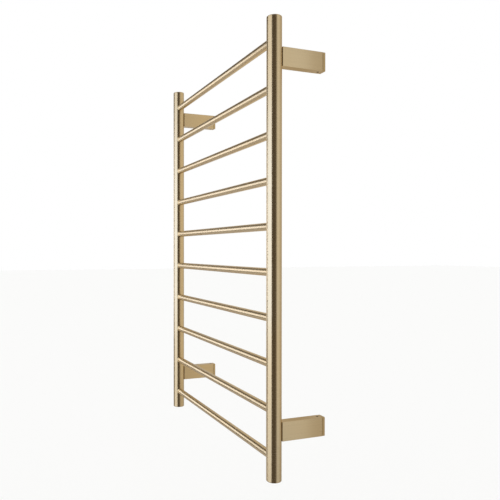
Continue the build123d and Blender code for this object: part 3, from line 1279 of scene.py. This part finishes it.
@dataclass(frozen=True)
class Studio:
    """A pale floor, a white surround, the lights that the metal mirrors and a wall that glows with painted
    light.
    """

    floor_drop: float = 0.6
    floor_size: float = 60.0
    gloom: Point = (0.085, 0.068, 0.050)
    glows: tuple[Glow, ...] = (
        Glow((120.0, 202.0), (-75.0, 20.0), (40.0, 8.0), (0.49, 0.46, 0.42)),
        Glow((150.0, 222.0), (-75.0, -17.0), (16.0, 8.0), (0.53, 0.50, 0.49)),
        Glow((110.0, 170.0), (-75.0, 20.0), (30.0, 10.0), (0.56, 0.54, 0.62)),
        Glow((11.0, 128.0), (-27.0, 50.0), (38.0, 36.0), (0.74, 0.72, 0.70)),
        Glow((120.0, 250.0), (25.0, 62.0), (20.0, 6.0), (0.13, 0.115, 0.10)),
        Glow((-180.0, 180.0), (62.0, 120.0), (0.0, 24.0), (0.60, 0.60, 0.60)),
    )
    lamps: tuple[Softbox, ...] = (
        Softbox("front_softbox", (-0.14, -1.75, 0.05), (2.52, 2.8), (0.86, 0.89, 0.98)),
        Softbox("front_softbox_core", (-0.175, -1.74, 0.08), (2.45, 1.15), (0.30, 0.46, 0.85)),
        Softbox("left_softbox", (-3.75, -1.75, 0.165), (3.1, 1.57), (0.97, 1.0, 1.15), 1.45),
    )
    wall_half_width: float = 2.6
    wall_top: float = 2.2
    wall_setback: float = 0.002
    wall_painted_light_tones: tuple[tuple[float, float, Point], ...] = (
        # side to side: place in metres, brightness and tint of the wall's painted light; between the
        # uprights it is dimmer and warmer, a painted shadow of the rack with a painted gold bounce, and it
        # fades far to the right
        (-1.20, 0.52, (0.96, 0.94, 1.00)),
        (-0.36, 0.56, (1.00, 0.95, 0.92)),
        (-0.20, 0.70, (1.00, 0.89, 0.72)),
        (-0.02, 0.66, (1.00, 0.90, 0.76)),
        (0.20, 0.47, (1.00, 0.84, 0.62)),
        (0.28, 0.53, (1.00, 0.89, 0.74)),
        (0.33, 0.565, (1.00, 0.93, 0.84)),
        (0.385, 0.72, (1.00, 0.98, 0.96)),
        (0.50, 0.74, (1.00, 0.985, 0.97)),
        (0.75, 0.56, (1.00, 0.97, 0.92)),
        (1.20, 0.28, (1.00, 0.93, 0.83)),
        (2.40, 0.10, (1.00, 0.85, 0.70)),
    )
    # painted shade: the wall's glow dims towards the floor; each pair is a height and a share
    wall_painted_shade: tuple[Span, ...] = ((-0.62, 0.72), (-0.25, 0.93), (0.15, 1.0), (0.60, 0.92))  # height, share
    camera_place: Point = (1.2602, -0.6392, -0.0118)
    camera_heading: float = 21.02    # degrees from -X towards +Y
    camera_tilt: float = -0.405      # degrees above level
    lens_mm: float = 40.81
    lens_shift: Span = (0.1005, 0.0091)

    @staticmethod
    def mask(tree: Tree, angle: Socket, span: Span, feather: float) -> Socket:
        """Add nodes that are 1 inside a span of angles and fall softly to 0 outside.

        Args:
            tree: The world's node tree.
            angle: The angle, in radians.
            span: Lowest and highest angle, in degrees.
            feather: Width of each soft edge, in degrees.

        Returns:
            The mask.
        """
        middle = math.radians(sum(span) / 2)
        half = math.radians((span[1] - span[0]) / 2)
        soft = math.radians(feather / 2)
        off = add_node(tree, "ShaderNodeMath", {0: angle, 1: middle}, operation="SUBTRACT").outputs[0]
        turn = add_node(tree, "ShaderNodeMath", {0: off, 1: math.pi, 2: -math.pi}, operation="WRAP")
        away = add_node(tree, "ShaderNodeMath", {0: turn.outputs[0]}, operation="ABSOLUTE").outputs[0]
        spans = dict(zip(RANGE, (away, half - soft, half + soft, 1.0, 0.0)))
        return add_node(tree, "ShaderNodeMapRange", spans, interpolation_type="SMOOTHSTEP").outputs["Result"]

    def surround(self) -> None:
        """Build the world: white to the eye, a dim room with soft glows to the metal."""
        world = bpy.data.worlds.new("studio")
        world.use_nodes = True
        tree = world.node_tree
        ray = add_node(tree, "ShaderNodeTexCoord").outputs["Generated"]
        parts = add_node(tree, "ShaderNodeSeparateXYZ", {"Vector": ray}).outputs
        azimuth = add_node(tree, "ShaderNodeMath", {0: parts["Y"], 1: parts["X"]}, operation="ARCTAN2")
        elevation = add_node(tree, "ShaderNodeMath", {0: parts["Z"]}, operation="ARCSINE")
        light = add_node(tree, "ShaderNodeCombineXYZ", dict(zip("XYZ", self.gloom))).outputs["Vector"]
        for glow in self.glows:
            share = self.mask(tree, elevation.outputs[0], glow.elevation, glow.feather[1])
            if glow.azimuth[1] - glow.azimuth[0] < 360:
                across = self.mask(tree, azimuth.outputs[0], glow.azimuth, glow.feather[0])
                both = {0: across, 1: share}
                share = add_node(tree, "ShaderNodeMath", both, operation="MULTIPLY").outputs[0]
            shades = dict(zip(MIX, (share, light, glow.colour)))
            light = add_node(tree, "ShaderNodeMix", shades, data_type="VECTOR").outputs[MIX_RESULT]
        mirrored = add_node(tree, "ShaderNodeLightPath").outputs["Is Glossy Ray"]
        shades = dict(zip(MIX, (mirrored, (1.0, 1.0, 1.0), light)))
        seen = add_node(tree, "ShaderNodeMix", shades, data_type="VECTOR").outputs[MIX_RESULT]
        tree.links.new(seen, tree.nodes["Background"].inputs["Color"])
        bpy.context.scene.world = world

    def floor(self) -> Piece:
        """Lay the pale floor below the rack.

        Returns:
            The floor.
        """
        shape = bmesh.new()
        bmesh.ops.create_grid(shape, x_segments=1, y_segments=1, size=self.floor_size / 2)
        bmesh.ops.translate(shape, vec=(0.0, 0.0, CAD_BOX[0][2] - self.floor_drop), verts=shape.verts)
        floor = new_object("floor", mesh_from("floor", shape))
        material, _, shader = new_material("matt_white_paint")
        shader.inputs["Base Color"].default_value = linear("#fbfbfa")
        shader.inputs["Roughness"].default_value = 0.9
        shader.inputs["Specular IOR Level"].default_value = 0.0
        floor.data.materials.append(material)
        floor.visible_glossy = False
        return floor

    @staticmethod
    def shading(tree: Tree, place: Socket, stops: Sequence[tuple[float, Point]]) -> Socket:
        """Add nodes that turn a place on the wall into a colour.

        Args:
            tree: The node tree.
            place: The place, in metres.
            stops: (place, colour) pairs in order.

        Returns:
            The colour.
        """
        low, high = stops[0][0], stops[-1][0]
        share = add_node(tree, "ShaderNodeMapRange", dict(zip(RANGE, (place, low, high))))
        spread = [((where - low) / (high - low), (*colour, 1.0)) for where, colour in stops]
        ramp = add_node(tree, "ShaderNodeValToRGB", {"Fac": share.outputs["Result"]}, spread)
        ramp.color_ramp.interpolation = "EASE"
        return ramp.outputs["Color"]

    def wall(self) -> Piece:
        """Put up the pale wall behind the rack, which only the metal's reflections show. The wall is no
        lamp; its glow is painted light, with a painted shadow of the rack, a painted gold bounce and painted
        shade low down.

        Returns:
            The wall.
        """
        shape = bmesh.new()
        side, y = self.wall_half_width, self.wall_setback
        low, high = CAD_BOX[0][2] - self.floor_drop, self.wall_top
        corners = [(-side, y, low), (side, y, low), (side, y, high), (-side, y, high)]
        shape.faces.new([shape.verts.new(corner) for corner in corners])
        wall = new_object("wall", mesh_from("wall", shape))
        material, tree, shader = new_material("lit_pale_plaster")
        tree.nodes.remove(shader)
        place = add_node(tree, "ShaderNodeTexCoord").outputs["Object"]
        parts = add_node(tree, "ShaderNodeSeparateXYZ", {"Vector": place}).outputs
        # Painted light: the glow is dimmer and warmer behind the rack, as painted shadow and gold bounce,
        # and dims towards the floor as painted shade.
        tones = [(x, tuple(level * part for part in tint)) for x, level, tint in self.wall_painted_light_tones]
        tone = self.shading(tree, parts["X"], tones)
        shade = self.shading(tree, parts["Z"], [(z, (level,) * 3) for z, level in self.wall_painted_shade])
        lit = add_node(tree, "ShaderNodeEmission", {"Color": tone, "Strength": shade})
        tree.links.new(lit.outputs["Emission"], tree.nodes["Material Output"].inputs["Surface"])
        wall.data.materials.append(material)
        for ray in ("camera", "diffuse", "shadow", "transmission", "volume_scatter"):
            setattr(wall, f"visible_{ray}", False)
        return wall

    def camera(self) -> Piece:
        """Stand the camera to the right of the rack, in front of it.

        Returns:
            The camera.
        """
        data = bpy.data.cameras.new("camera")
        data.sensor_width = 36.0
        data.lens = self.lens_mm
        data.shift_x, data.shift_y = self.lens_shift
        camera = bpy.data.objects.new("camera", data)
        camera.location = self.camera_place
        heading, tilt = math.radians(self.camera_heading), math.radians(self.camera_tilt)
        level = math.cos(tilt)
        gaze = Vector((-math.cos(heading) * level, math.sin(heading) * level, math.sin(tilt)))
        camera.rotation_euler = gaze.to_track_quat("-Z", "Y").to_euler()
        bpy.context.scene.collection.objects.link(camera)
        bpy.context.scene.camera = camera
        return camera

    def build(self) -> None:
        """Set up surround, lamps, floor, wall, camera and an even view of the colours."""
        self.surround()
        for lamp in self.lamps:
            lamp.build()
        self.floor()
        self.wall()
        self.camera()
        bpy.context.scene.view_settings.view_transform = "Standard"


def main() -> None:
    """Dress the frame, build the pieces that show and set up the studio."""
    logging.basicConfig(level=logging.INFO, format="%(name)s: %(message)s")
    Studio().build()
    shelf = FinishShelf()
    shelf.dress_cad()
    for side in Side:
        Upright(side).build(shelf)
    CrossBars().build(shelf)
    screw_tree = GrubScrew.tree()
    for level in Level:
        for side in Side:
            WallArm(level, side).build(shelf)
            WallBoss(level, side).build(shelf)
            GrubScrew(level, side).build(shelf, screw_tree)
    CableGrommet().build(shelf)


if __name__ == "__main__":
    main()
